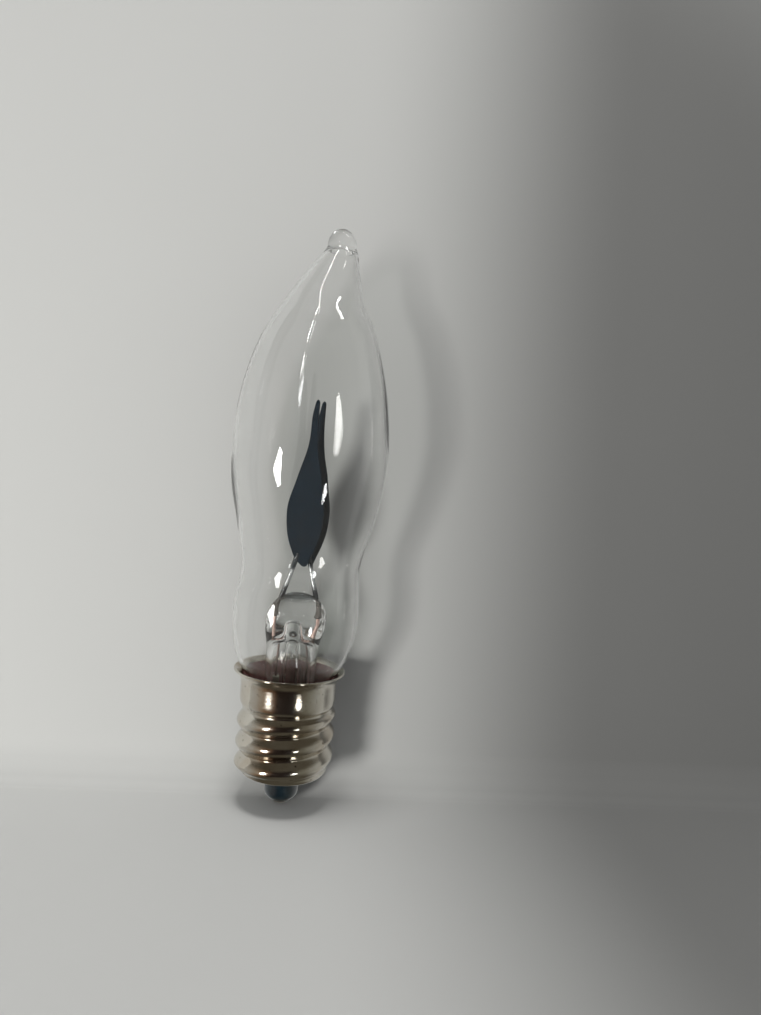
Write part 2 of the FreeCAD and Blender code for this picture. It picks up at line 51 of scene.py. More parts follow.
# Natural cubic curve: values at the knots, joined so that slope and bend run on smoothly.
def curveThrough(knots, values, at):
    knots = np.asarray(knots, float)
    values = np.asarray(values, float)
    gaps = np.diff(knots)
    slopes = np.diff(values, axis=0) / gaps[:, None]
    matrix = np.eye(len(knots))
    inner = np.arange(1, len(knots) - 1)
    matrix[inner, inner - 1] = gaps[:-1]
    matrix[inner, inner] = 2 * (gaps[:-1] + gaps[1:])
    matrix[inner, inner + 1] = gaps[1:]
    right = np.zeros_like(values)
    right[1:-1] = 6 * np.diff(slopes, axis=0)
    bends = np.linalg.solve(matrix, right)
    span = np.clip(np.searchsorted(knots, at) - 1, 0, len(gaps) - 1)
    gap = gaps[span][:, None]
    before = (knots[span + 1] - at)[:, None] / gap
    after = 1 - before
    bow = (before**3 - before) * bends[span] + (after**3 - after) * bends[span + 1]
    return before * values[span] + after * values[span + 1] + bow * gap**2 / 6


# The same curve through points, sampled evenly along their chords.
def samplePath(points, count):
    points = np.asarray(points, float)
    reached = np.concatenate([[0], np.cumsum(np.linalg.norm(np.diff(points, axis=0), axis=1))])
    return curveThrough(reached, points, np.linspace(0, reached[-1], count))


# Straight runs between points, sampled about evenly, with every point kept.
def samplePolyline(points, step):
    runs = []
    for start, end in zip(points, points[1:]):
        pieces = max(1, round(math.dist(start, end) / step))
        runs.append(np.linspace(start, end, pieces, endpoint=False))
    runs.append(np.asarray(points[-1:], float))
    return np.vstack(runs)


# Directions brought to length one.
def unit(vectors):
    return vectors / np.linalg.norm(vectors, axis=1, keepdims=True)


# Angles once round, for the columns of a grid.
def around(columns):
    return np.linspace(0, fullTurn, columns, endpoint=False)[None, :]


# A new object in the scene.
def addObject(name, data):
    made = bpy.data.objects.new(name, data)
    bpy.context.scene.collection.objects.link(made)
    return made


# Mesh of a grid of points: rows run along the piece and columns once round it. With poles the first and
# last rows are single points, with loop the last row joins the first. The volume's sign turns it outward.
# Edges that bend by more than sharp degrees aren't smoothed.
def skin(name, grid, ends, sharp=50):
    rows, columns = grid.shape[:2]
    points = grid.reshape(-1, 3)
    index = np.arange(rows * columns).reshape(rows, columns)
    fans = np.zeros((0, 3), int)
    if ends == "poles":
        points = np.vstack([grid[1:-1].reshape(-1, 3), grid[0, :1], grid[-1, :1]])
        index = index[:-2]
        poleA = len(points) - 2
        ringA, ringB = index[0], index[-1]
        fanA = np.stack([np.full(columns, poleA), np.roll(ringA, -1), ringA], axis=-1)
        fanB = np.stack([np.full(columns, poleA + 1), ringB, np.roll(ringB, -1)], axis=-1)
        fans = np.vstack([fanA, fanB])
    else:
        index = np.vstack([index, index[:1]])
    low, high = index[:-1], index[1:]
    corners = [low, np.roll(low, -1, axis=1), np.roll(high, -1, axis=1), high]
    quads = np.stack(corners, axis=-1).reshape(-1, 4)
    halves = np.vstack([quads[:, [0, 1, 2]], quads[:, [0, 2, 3]], fans])
    first, second, third = (points[halves[:, i]] for i in range(3))
    volume = np.einsum("ij,ij->", first, np.cross(second, third))
    if volume < 0:
        quads, fans = quads[:, ::-1], fans[:, ::-1]
    mesh = bpy.data.meshes.new(name)
    mesh.from_pydata((points * mm).tolist(), [], quads.tolist() + fans.tolist())
    mesh.shade_smooth()
    mesh.set_sharp_from_angle(angle=math.radians(sharp))
    return addObject(name, mesh)


# Grid of level ovals: half width times cosine, half depth times sine, at a height and a lean.
def ovals(wide, deep, height, lean, angle):
    return np.stack([lean + wide * np.cos(angle), deep * np.sin(angle), height + 0 * angle], axis=-1)


# Turned surface: radius, height and lean along a profile, carried once round.
def turned(name, profile, ends, columns):
    radius, height, lean = np.split(profile, 3, axis=1)
    return skin(name, ovals(radius, radius, height, lean, around(columns)), ends)


# Profile of a piece that stands on the cap's own axis, from its radius and height.
def onAxis(line):
    return np.column_stack([line, np.zeros(len(line))])


# Round wire: a circle carried along a path, square to it, closed by a low dome at each end.
def wire(name, path, radius, steady=(0.0, 1.0, 0.0), columns=24):
    tangent = unit(np.gradient(path, axis=0))
    across = unit(np.cross(tangent, steady))
    upward = np.cross(tangent, across)
    radius = np.broadcast_to(np.asarray(radius, float), (len(path),))
    domeHeight, domeShare = 0.35, 0.7
    foot = tangent[0] * domeHeight * radius[0]
    head = tangent[-1] * domeHeight * radius[-1]
    centres = np.vstack(
        [path[0] - foot, path[0] - foot * domeShare, path, path[-1] + head * domeShare, path[-1] + head]
    )
    sizes = np.concatenate([[0, domeShare * radius[0]], radius, [domeShare * radius[-1], 0]])
    across = np.vstack([across[:1], across[:1], across, across[-1:], across[-1:]])
    upward = np.vstack([upward[:1], upward[:1], upward, upward[-1:], upward[-1:]])
    angle = around(columns)[..., None]
    ring = across[:, None] * np.cos(angle) + upward[:, None] * np.sin(angle)
    return skin(name, centres[:, None] + sizes[:, None, None] * ring, "poles", 60)


# Gives a piece its material, hangs it on the root body and hides the CAD nodes that it stands for.
def place(piece, nodes, finish):
    piece.data.materials.append(finish)
    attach(piece, "root")
    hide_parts(*nodes)


# materials

# One shader node with its inputs set to numbers or joined to other nodes' outputs.
def shaderNode(tree, kind, inputs=None, **settings):
    made = tree.nodes.new("ShaderNode" + kind)
    for key, value in settings.items():
        setattr(made, key, value)
    for key, value in (inputs or {}).items():
        if isinstance(value, bpy.types.NodeSocket):
            tree.links.new(value, made.inputs[key])
        else:
            made.inputs[key].default_value = value
    return made


# A material with one Principled shader, and the coordinates of the piece.
def newFinish(name, **inputs):
    material = bpy.data.materials.new(name)
    material.use_nodes = True
    tree = material.node_tree
    shader = tree.nodes["Principled BSDF"]
    for key, value in inputs.items():
        shader.inputs[key.replace("_", " ")].default_value = value
    return material, tree, shader, tree.nodes.new("ShaderNodeTexCoord").outputs["Object"]


# Joins outputs to the shader's inputs of those names.
def join(shader, **outputs):
    for key, output in outputs.items():
        shader.id_data.links.new(output, shader.inputs[key.replace("_", " ")])


def noise(tree, where, scale, detail=3.0, rough=0.5):
    inputs = {"Vector": where, "Scale": scale, "Detail": detail, "Roughness": rough}
    return shaderNode(tree, "TexNoise", inputs).outputs["Fac"]


def stretched(tree, where, scale):
    return shaderNode(tree, "Mapping", {"Vector": where, "Scale": scale}).outputs["Vector"]


# Colours, or greys, spread over a value between 0 and 1.
def ramp(tree, value, stops):
    made = shaderNode(tree, "ValToRGB", {"Fac": value})
    elements = made.color_ramp.elements
    while len(elements) < len(stops):
        elements.new(0.5)
    for element, (position, colour) in zip(elements, stops):
        element.position = position
        element.color = (*colour, 1) if isinstance(colour, tuple) else (colour, colour, colour, 1)
    return made.outputs["Color"]


# A number that goes from low to high while the value goes from start to end.
def spread(tree, value, low, high, start=0.0, end=1.0, kind="LINEAR"):
    inputs = {"Value": value, "From Min": start, "From Max": end, "To Min": low, "To Max": high}
    return shaderNode(tree, "MapRange", inputs, interpolation_type=kind).outputs["Result"]


def maths(tree, operation, *values, **settings):
    made = shaderNode(tree, "Math", dict(enumerate(values)), operation=operation, **settings)
    return made.outputs["Value"]


# One coordinate of a place or direction.
def along(tree, vector, axis):
    return shaderNode(tree, "SeparateXYZ", {"Vector": vector}).outputs[axis]


def bump(tree, height, strength, depth, under=None):
    inputs = {"Height": height, "Strength": strength, "Distance": depth * mm}
    if under is not None:
        inputs["Normal"] = under
    return shaderNode(tree, "Bump", inputs).outputs["Normal"]


def mixColour(tree, share, first, second):
    made = shaderNode(tree, "Mix", {"Factor": share}, data_type="RGBA")
    for socket, value in ((made.inputs[6], first), (made.inputs[7], second)):
        if isinstance(value, bpy.types.NodeSocket):
            tree.links.new(value, socket)
        else:
            socket.default_value = (*value, 1)
    return made.outputs[2]


# Glass that lamps shine through: bent rays for the eye, and a plain tint for the lamps' rays, darker
# where the glass is seen edge-on. The eye's colour darkens too where the glass is seen edge-on, painted
# shade for dark outlines. The top tint blends in a dark colour from one height to another, painted shade
# for a dark band at the top, and the side tint is paler for the lamps' rays on the left. Both give two
# places and a colour.
def glassFinish(name, ior, clear, edge, shade, streaks, paleSide=None, paintedShadeTop=None):
    material, tree, shader, where = newFinish(name, Transmission_Weight=1.0, Roughness=0.0, IOR=ior)
    facing = shaderNode(tree, "LayerWeight", {"Blend": 0.5}).outputs["Facing"]
    # the colour darkens towards edge-on views: painted shade for dark outlines
    tint = ramp(tree, facing, [(0.0, clear), (0.72, clear), (1.0, edge)])
    # painted shade: a dark colour blended in over a band at the top
    if paintedShadeTop is not None:
        low, high, dark = paintedShadeTop
        share = spread(tree, along(tree, where, "Z"), 0.0, 1.0, low * mm, high * mm)
        tint = mixColour(tree, share, tint, dark)
    drawn = noise(tree, stretched(tree, where, (1.0, 1.0, 0.12)), streaks["scale"], 2.0)
    seeds = noise(tree, where, streaks["seedScale"], 1.0)
    wavy = bump(tree, drawn, streaks["strength"], 0.05)
    join(shader, Base_Color=tint, Normal=bump(tree, seeds, streaks["seedStrength"], 0.01, wavy))
    lampTint = ramp(tree, facing, [(0.0, shade[0]), (0.45, shade[0]), (0.9, shade[1])])
    if paleSide is not None:
        left, right, pale = paleSide
        share = spread(tree, along(tree, where, "X"), 0.0, 1.0, left * mm, right * mm)
        lampTint = mixColour(tree, share, pale, lampTint)
    through = shaderNode(tree, "BsdfTransparent", {"Color": lampTint}).outputs["BSDF"]
    shadowRay = shaderNode(tree, "LightPath").outputs["Is Shadow Ray"]
    mix = shaderNode(tree, "MixShader", {0: shadowRay, 1: shader.outputs["BSDF"], 2: through})
    tree.links.new(mix.outputs["Shader"], tree.nodes["Material Output"].inputs["Surface"])
    return material


# camera: the photograph's place and angle of view

cameraValues = {
    "standOff": 89.5,
    "height": 40.8,
    "yaw": 5.904,
    "pitch": 3.111,
    "roll": 4.519,
    "focalPixels": 762.0,
    "imageHeight": 1015,
    "filmHeight": 36.0,
    "clip": (1, 10000),
}


def makeCamera(v):
    yaw, pitch, roll = (math.radians(v[key]) for key in ("yaw", "pitch", "roll"))
    forward = Vector((math.sin(yaw) * math.cos(pitch), math.cos(yaw) * math.cos(pitch), -math.sin(pitch)))
    level = Vector((math.cos(yaw), -math.sin(yaw), 0))
    upright = level.cross(forward)
    right = level * math.cos(roll) + upright * math.sin(roll)
    up = upright * math.cos(roll) - level * math.sin(roll)
    data = bpy.data.cameras.new("camera")
    data.sensor_width = v["filmHeight"]
    data.lens = v["focalPixels"] / v["imageHeight"] * v["filmHeight"]
    data.clip_start, data.clip_end = (distance * mm for distance in v["clip"])
    camera = addObject("camera", data)
    turn = Matrix((right, up, -forward)).transposed().to_4x4()
    camera.matrix_world = Matrix.Translation((0, -v["standOff"] * mm, v["height"] * mm)) @ turn
    bpy.context.scene.camera = camera


makeCamera(cameraValues)


# glass envelope

envelopeValues = {
    # height, radius, lean of the outer skin from the neck's end to the bead's foot
    "rings": [
        (9.80, 4.50, 0.10), (11.5, 4.50, 0.10), (13.0, 4.50, 0.10), (14.0, 4.64, 0.10),
        (15.0, 5.02, 0.10), (16.0, 5.62, 0.10), (17.0, 6.24, 0.12), (18.5, 6.79, 0.16),
        (20.0, 7.18, 0.23), (22.5, 7.40, 0.28), (24.5, 7.29, 0.30), (26.0, 7.07, 0.39),
        (28.0, 6.89, 0.47), (30.0, 7.13, 0.48), (32.0, 7.62, 0.52), (34.0, 8.08, 0.56),
        (37.0, 8.69, 0.52), (40.0, 9.02, 0.56), (42.0, 9.07, 0.62), (45.0, 8.90, 0.61),
        (48.0, 8.53, 0.60), (51.0, 7.89, 0.63), (54.0, 7.00, 0.70), (56.0, 6.24, 0.83),
        (57.4, 5.52, 0.89), (58.6, 4.80, 0.92), (60.0, 4.14, 1.13), (62.0, 3.29, 1.60),
        (64.0, 2.38, 2.13), (64.9, 1.95, 2.40),
    ],
    # the bead that closes the tip
    "bead": [
        (65.25, 1.76, 2.43), (65.55, 1.67, 2.45), (65.95, 1.65, 2.46), (66.35, 1.57, 2.46),
        (66.8, 1.33, 2.45), (67.2, 0.97, 2.45), (67.48, 0.53, 2.45), (67.58, 0.0, 2.45),
    ],
    # the hollow's roof, where the bead's foot bulges down
    "meniscus": [
        (64.74, 1.60, 2.36), (64.88, 1.47, 2.40), (64.86, 1.28, 2.42), (64.70, 0.93, 2.43),
        (64.52, 0.48, 2.43), (64.46, 0.0, 2.43),
    ],
    "wall": 0.38,
    "hollowTop": 64.35,
    # how deep the waves are, how much of that the outer skin has, and for each wave how often it goes
    # round, its turn with height, its start and its share
    "waveDepth": 0.03,
    "waveOutside": 0.35,
    "waves": [(3, 0.21, 0.0, 1.0), (5, -0.33, 1.3, 0.7), (2, 0.5, 0.6, 0.5)],
    # the waves fade out below and above these heights
    "waveFoot": 18,
    "waveTop": 62,
    "waveFade": 6,
    "rows": 260,
    "roofRows": 30,
    "columns": 160,
}


# Envelope: rings of changing radius and lean. The hollow is the outer skin moved in by the wall along
# its normal. Slow sine waves in angle and height make the wall slightly uneven, as blown glass is.
def makeEnvelope(v):
    outer = samplePath(v["rings"] + v["bead"], v["rows"])
    outer[-1, 1] = 0
    slope = unit(np.gradient(outer[:, :2], axis=0))
    hollow = outer.copy()
    hollow[:, 0] += slope[:, 1] * v["wall"]
    hollow[:, 1] -= slope[:, 0] * v["wall"]
    hollow = hollow[(hollow[:, 0] < v["hollowTop"]) & (outer[:, 0] < v["hollowTop"])]
    roof = samplePath(np.vstack([hollow[-3:-2], v["meniscus"]]), v["roofRows"])
    roof[-1, 1] = 0
    hollow = np.vstack([hollow[:-2], roof[1:]])
    foot = np.linspace(outer[0], hollow[0], wallRows)[1:-1]
    profile = np.vstack([outer[::-1], foot, hollow])
    inside = np.arange(len(profile)) >= len(outer) + len(foot)
    angle = around(v["columns"])
    height, radius, lean = np.split(profile, 3, axis=1)
    wave = sum(
        share * np.sin(turns * angle + height * climb + start) for turns, climb, start, share in v["waves"]
    )
    rising = np.clip((height - v["waveFoot"]) / v["waveFade"], 0, 1)
    falling = np.clip((v["waveTop"] - height) / v["waveFade"], 0, 1)
    size = v["waveDepth"] * np.where(inside, 1.0, v["waveOutside"])[:, None]
    radius = radius + size * (rising * falling) * wave
    return skin("envelopeGlass", ovals(radius, radius, height, lean, angle), "poles")


clearGlass = glassFinish(
    "clearGlass",
    1.5,
    clear=(0.995, 0.997, 0.995),
    edge=(0.90, 0.91, 0.90),
    shade=((0.965, 0.967, 0.965), (0.06, 0.06, 0.06)),
    streaks={"scale": 130, "strength": 0.07, "seedScale": 900, "seedStrength": 0.02},
    paleSide=(-3, 5, (0.94, 0.945, 0.94)),
)
place(makeEnvelope(envelopeValues), ["envelope"], clearGlass)
print("envelope made")


# stem and exhaust tube

stemValues = {
    # height, half width, half depth and lean of the outer skin, from the seal to the press's top
    "rings": [
        (9.80, 3.95, 3.95, 0.10), (11.0, 3.62, 3.62, 0.10), (12.5, 3.20, 3.20, 0.10),
        (14.0, 3.05, 3.05, 0.10), (16.0, 3.03, 3.05, 0.10), (18.0, 3.02, 3.02, 0.10),
        (19.2, 3.12, 2.80, 0.14), (20.5, 3.40, 2.25, 0.22), (22.0, 3.50, 1.75, 0.32),
        (23.2, 3.28, 1.60, 0.40), (24.1, 2.72, 1.45, 0.42), (24.75, 1.92, 1.15, 0.42),
        (25.1, 1.08, 0.74, 0.42), (25.2, 0.0, 0.0, 0.42),
    ],
    # height, radius and lean of the bore, up to the blow-hole's rounded end
    "bore": [
        (9.80, 3.15, 0.10), (11.0, 2.80, 0.10), (12.6, 2.42, 0.10), (14.5, 2.30, 0.10),
        (17.0, 2.28, 0.10), (18.6, 2.20, 0.10), (19.4, 1.90, 0.10), (19.8, 1.42, 0.10),
        (20.2, 1.06, 0.10), (20.9, 0.98, 0.08), (21.5, 0.86, 0.07), (21.85, 0.50, 0.06),
        (21.95, 0.0, 0.06),
    ],
    "rows": 150,
    "boreRows": 130,
    "columns": 128,
}


# Stem: ovals that flatten from the round tube to the press, then the seal's edge and the round bore.
def makeStem(v):
    outer = samplePath(v["rings"], v["rows"])
    outer[-1, 1:3] = 0
    bore = samplePath(v["bore"], v["boreRows"])
    bore[-1, 1] = 0
    bore = bore[:, [0, 1, 1, 2]]
    edge = np.linspace(outer[0], bore[0], wallRows)[1:-1]
    profile = np.vstack([outer[::-1], edge, bore])
    height, wide, deep, lean = np.split(profile, 4, axis=1)
    grid = ovals(wide, deep, height, lean, around(v["columns"]))
    return skin("stemGlassPress", grid, "poles")


stemGlass = glassFinish(
    "stemGlass",
    1.53,
    clear=(0.97, 0.975, 0.97),
    edge=(0.55, 0.56, 0.55),
    shade=((0.86, 0.87, 0.86), (0.3, 0.3, 0.3)),
    streaks={"scale": 260, "strength": 0.2, "seedScale": 1500, "seedStrength": 0.06},
    # painted shade: the press's top is tinted dark
    paintedShadeTop=(24.2, 24.7, (0.10, 0.115, 0.12)),
)
place(makeStem(stemValues), ["stem"], stemGlass)

exhaustValues = {
    "foot": 10.4,
    "top": 19.85,
    "radius": 1.05,
    "bore": 0.55,
    "lean": 0.10,
    "floor": 10.9,
    "rimRise": 0.04,
    # the rim's corners as shares of the radius and of the bore
    "rimCorners": (0.9, 1.1),
    # the bore's round end: shares of the bore, and depths below its floor
    "boreEnd": [(0.6, 0.25), (0.0, 0.3)],
    "rows": 12,
    "footRows": 9,
    "columns": 64,
}


# Exhaust tube: a narrow tube with a round melted foot, turned about the stem's own axis. The profile
# climbs outside, crosses the rim and goes down the bore.
def makeExhaust(v):
    radius, bore, top, rows = v["radius"], v["bore"], v["top"], v["rows"]
    line = [
        (radius * math.sin(angle), v["foot"] - radius * math.cos(angle))
        for angle in np.linspace(0, math.pi / 2, v["footRows"])
    ]
    line += [(radius, v["foot"] + (top - v["foot"]) * step / rows) for step in range(1, rows + 1)]
    rim = (radius * v["rimCorners"][0], bore * v["rimCorners"][1])
    line += [(corner, top + v["rimRise"]) for corner in rim]
    line += [(bore, top - (top - v["floor"]) * step / rows) for step in range(rows + 1)]
    line += [(bore * share, v["floor"] - dip) for share, dip in v["boreEnd"]]
    profile = np.array([(r, z, v["lean"]) for r, z in line])
    return turned("exhaustTube", profile, "poles", v["columns"])


place(makeExhaust(exhaustValues), ["exhaust_tube"], stemGlass)
print("stem made")


# flame plates

plateValues = {
    # height above the plate's foot, left edge and right edge across the plate
    "edges": [
        (-0.55, 0.18, 0.42), (-0.35, -0.15, 0.66), (0.0, -0.55, 0.85), (0.45, -0.98, 1.02),
        (1.2, -1.38, 1.36), (2.2, -1.82, 1.76), (3.5, -2.16, 2.12), (5.0, -2.31, 2.29),
        (6.3, -2.27, 2.28), (7.6, -1.97, 2.08), (9.0, -1.50, 1.82), (10.4, -1.08, 1.58),
        (11.9, -0.60, 1.20), (13.2, -0.24, 0.98), (14.4, -0.06, 0.86), (15.8, 0.00, 0.79),
        (17.2, 0.10, 0.80), (18.1, 0.28, 0.82), (18.6, 0.42, 0.78), (18.8, 0.57, 0.65),
    ],
    "foot": 29.0,
    "thickness": 0.24,
    "spacing": 2.0,
    "turn": 22.0,
    "lean": 0.85,
    # the buckle's depth, and how fast it changes with height and across
    "buckle": 0.06,
    "buckleClimb": 0.35,
    "buckleAcross": 0.7,
    "squareness": 0.28,
    # half width below which the sheet thins out to its ends
    "thinBelow": 0.12,
    "rows": 150,
    "columns": 72,
}


# Flame plate: at each height a flat oval spans the two edges. The squareness is the power of its cosine
# and sine, which makes its sides flat. The plate buckles by a slow wave, as thin sheet does.
def makePlate(name, v, side):
    height, left, right = np.split(samplePath(v["edges"], v["rows"]), 3, axis=1)
    middle = (left + right) / 2
    half = (right - left) / 2
    half[0] = half[-1] = 0
    angle = around(v["columns"]) + math.pi / v["columns"]
    cosine, sine = np.cos(angle), np.sin(angle)
    across = middle + half * np.sign(cosine) * np.abs(cosine) ** v["squareness"]
    taper = np.clip(half / v["thinBelow"], 0, 1)
    through = v["thickness"] / 2 * taper * np.sign(sine) * np.abs(sine) ** v["squareness"]
    bulge = np.sin(height * v["buckleClimb"] + side) * np.cos(across * v["buckleAcross"])
    buckle = v["buckle"] * side * bulge
    apart = side * v["spacing"] / 2 + through + buckle
    turn = math.radians(v["turn"])
    x = v["lean"] + across * math.cos(turn) + apart * math.sin(turn)
    y = -across * math.sin(turn) + apart * math.cos(turn)
    z = v["foot"] + height + 0 * angle
    return skin(name, np.stack([x, y, z], axis=-1), "poles", 65)


# Dark satin coating, clouded and grained, with faint upright strokes.
def plateFinish():
    material, tree, shader, where = newFinish("plateCoating", Specular_IOR_Level=0.05)
    cloud = noise(tree, where, 420, 4.0, 0.6)
    shades = [(0.3, (0.002, 0.006, 0.011)), (0.55, (0.004, 0.011, 0.019)), (0.8, (0.009, 0.018, 0.028))]
    rough = spread(tree, cloud, 0.42, 0.66, 0.3, 0.7)
    join(shader, Base_Color=ramp(tree, cloud, shades), Roughness=rough)
    grain = noise(tree, where, 9000, 3.0, 0.7)
    brush = noise(tree, stretched(tree, where, (1, 1, 0.15)), 2600, 2.0)
    strokes = bump(tree, brush, 0.3, 0.02)
    join(shader, Normal=bump(tree, grain, 0.35, 0.008, strokes))
    return material


coating = plateFinish()
for end, side in (("Front", -1), ("Rear", 1)):
    plate = makePlate("plate" + end, plateValues, side)
    place(plate, ["electrode_" + end.lower()], coating)
print("plates made")


# support wires, press leads and outer leads

supportValues = {
    # points from the plate's foot down to the weld knot
    "left": [(-0.02, -0.66, 29.9), (-0.24, -0.62, 29.2), (-0.62, -0.48, 27.8), (-1.22, -0.22, 25.8),
             (-1.66, -0.08, 24.4), (-1.88, 0.0, 23.4), (-1.95, 0.0, 22.4)],
    "right": [(1.52, 0.86, 29.9), (1.50, 0.80, 29.2), (1.72, 0.58, 27.8), (2.18, 0.28, 25.8),
              (2.50, 0.10, 24.4), (2.62, 0.0, 23.4), (2.63, 0.0, 22.4)],
    "radius": 0.27,
    "knotRadius": 0.42,
    "knotHeight": 22.45,
    # the plate's coating that runs down the wire: where it ends, how thick and how abrupt it is
    "coatFoot": 28.3,
    "coat": 0.03,
    "coatEnd": 9,
    # the swelling where the wire enters the glass
    "glassEntry": 24.9,
    "glassSwell": 0.03,
    # heights that the wire's colours span, and how far their borders wander
    "colourSpan": (21, 31),
    "colourWander": 0.9,
    "rows": 90,
}


# Support wire: a round wire that swells into a weld knot at its lower end, by a bell curve in height.
def makeSupport(name, v, key):
    path = samplePath(v[key], v["rows"])
    height = path[:, 2]
    fromKnot = (height - v["knotHeight"]) / v["knotRadius"]
    knot = (v["knotRadius"] - v["radius"]) * np.exp(-(fromKnot**2))
    coat = v["coat"] / (1 + np.exp(-(height - v["coatFoot"]) * v["coatEnd"]))
    entry = v["glassSwell"] * np.exp(-((height - v["glassEntry"]) ** 2))
    return wire(name, path, v["radius"] + knot + coat + entry)


# Drawn nickel, dark with the plate's coating at its top and with a dark band just above where it enters
# the glass.
def supportFinish(v):
    material, tree, shader, where = newFinish("supportNickel")
    wander = noise(tree, where, 1800, 3.0)
    raised = maths(tree, "MULTIPLY_ADD", wander, v["colourWander"] * mm, along(tree, where, "Z"))
    low, high = v["colourSpan"]
    inUnit = spread(tree, raised, 0.0, 1.0, low * mm, high * mm)
    shades = [
        (0.0, (0.05, 0.045, 0.04)), (0.15, (0.05, 0.045, 0.04)),  # weld knot
        (0.18, (0.24, 0.21, 0.19)), (0.36, (0.20, 0.185, 0.17)),  # in the glass
        (0.42, (0.035, 0.036, 0.04)), (0.50, (0.05, 0.052, 0.057)),  # dark band just above the glass
        (0.57, (0.50, 0.51, 0.51)), (0.74, (0.54, 0.55, 0.55)),  # bright nickel
        (0.78, (0.014, 0.02, 0.024)), (1.0, (0.012, 0.017, 0.021)),  # the plate's coating
    ]
    metal = [(0.0, 0.8), (0.42, 0.7), (0.57, 1.0), (0.74, 1.0), (0.78, 0.0)]
    join(shader, Base_Color=ramp(tree, inUnit, shades), Metallic=ramp(tree, inUnit, metal))
    drawn = noise(tree, stretched(tree, where, (1, 1, 0.05)), 9000, 2.0)
    join(shader, Roughness=spread(tree, drawn, 0.08, 0.24), Normal=bump(tree, drawn, 0.3, 0.01))
    return material


supportNickel = supportFinish(supportValues)
for side in ("left", "right"):
    support = makeSupport("supportWire" + side.title(), supportValues, side)
    place(support, ["support_wire_" + side], supportNickel)


# Copper, stained in patches, with fine marks along the wire.
def copperFinish(name, pale, deep, rough):
    material, tree, shader, where = newFinish(name, Metallic=1.0)
    patches = noise(tree, where, 1500, 4.0)
    join(shader, Base_Color=ramp(tree, patches, [(0.35, deep), (0.65, pale)]))
    drawn = noise(tree, stretched(tree, where, (1, 1, 0.06)), 9000, 2.0)
    rough = spread(tree, patches, rough, rough + 0.2)
    join(shader, Roughness=rough, Normal=bump(tree, drawn, 0.3, 0.01))
    return material


pressCopper = copperFinish("pressCopper", (0.76, 0.58, 0.52), (0.60, 0.41, 0.36), 0.45)
leadCopper = copperFinish("leadCopper", (0.16, 0.095, 0.075), (0.07, 0.045, 0.04), 0.4)

leadValues = {
    "pressLeft": [(-1.95, 0, 22.35), (-1.98, 0, 21.6), (-1.92, 0, 20.8), (-1.80, 0, 19.9)],
    "pressRight": [(2.63, 0, 22.35), (2.60, 0, 21.6), (2.34, 0, 20.8), (2.02, 0, 19.9)],
    "pressRadius": {"Left": 0.16, "Right": 0.20},
    "outerLeft": [(-1.80, 0, 19.95), (-1.66, 0, 19.0), (-1.58, 0, 17.8), (-1.575, 0, 14.5),
                  (-1.575, 0, 11.0), (-2.1, -0.3, 10.2), (-3.1, -0.7, 9.3), (-3.68, -0.9, 8.78)],
    "outerRight": [(2.02, 0, 19.95), (1.98, 0, 18.4), (2.00, 0, 16.0), (2.04, 0.02, 13.3),
                   (2.42, 0.2, 10.8), (2.60, 0.8, 9.35), (1.7, 3.6, 9.02), (0.35, 4.62, 9.35),
                   (0, 4.70, 10.2), (0, 4.72, 11.9), (0, 5.19, 14.3), (0, 5.36, 15.3), (0, 5.72, 15.8)],
    "outerRadius": 0.125,
    "pressRows": 40,
    "outerRows": 160,
    # a direction that no outer lead runs in, and the columns round one
    "outerRings": ((1.0, 0.35, 0.0), 16),
}
for side in ("Left", "Right"):
    pressPath = samplePath(leadValues["press" + side], leadValues["pressRows"])
    pressWire = wire("pressLead" + side, pressPath, leadValues["pressRadius"][side])
    place(pressWire, ["press_lead_" + side.lower()], pressCopper)
    outerPath = samplePath(leadValues["outer" + side], leadValues["outerRows"])
    outerWire = wire("outerLead" + side, outerPath, leadValues["outerRadius"], *leadValues["outerRings"])
    place(outerWire, ["outer_lead_" + side.lower()], leadCopper)
print("wires made")


# screw shell

shellValues = {
    "pitch": 2.54,
    "crestHeight": 7.42,
    "crestRadius": 5.80,
    "rootRadius": 5.15,
    "crestFullness": 0.68,
    "wall": 0.25,
    # radius and height of the outer skin without its thread, from the foot's opening to the lip's edge
    "profile": [
        (3.60, 3.80), (4.00, 3.80), (4.45, 3.80), (4.80, 3.89), (5.06, 4.14), (5.15, 4.50),
        (5.15, 5.50), (5.15, 7.50), (5.15, 9.50), (5.15, 11.2), (5.26, 11.75), (5.50, 12.15),
        (5.61, 12.60), (5.62, 13.60), (5.63, 14.50), (5.68, 14.95), (5.82, 15.32), (6.08, 15.66),
        (6.34, 15.86), (6.47, 15.94),
    ],
    # the thread runs out below and above these heights
    "threadFoot": 4.15,
    "threadTop": 11.95,
    "fade": 0.85,
    "rows": 230,
    "edgeRows": 7,
    "columns": 200,
}


# Half circle from one point to another, past which it bulges, without the two points.
def roundEdge(start, end, bulge, rows):
    angle = np.linspace(0, math.pi, rows)[1:-1, None]
    return (start + end) / 2 + (start - end) / 2 * np.cos(angle) + bulge * np.sin(angle)


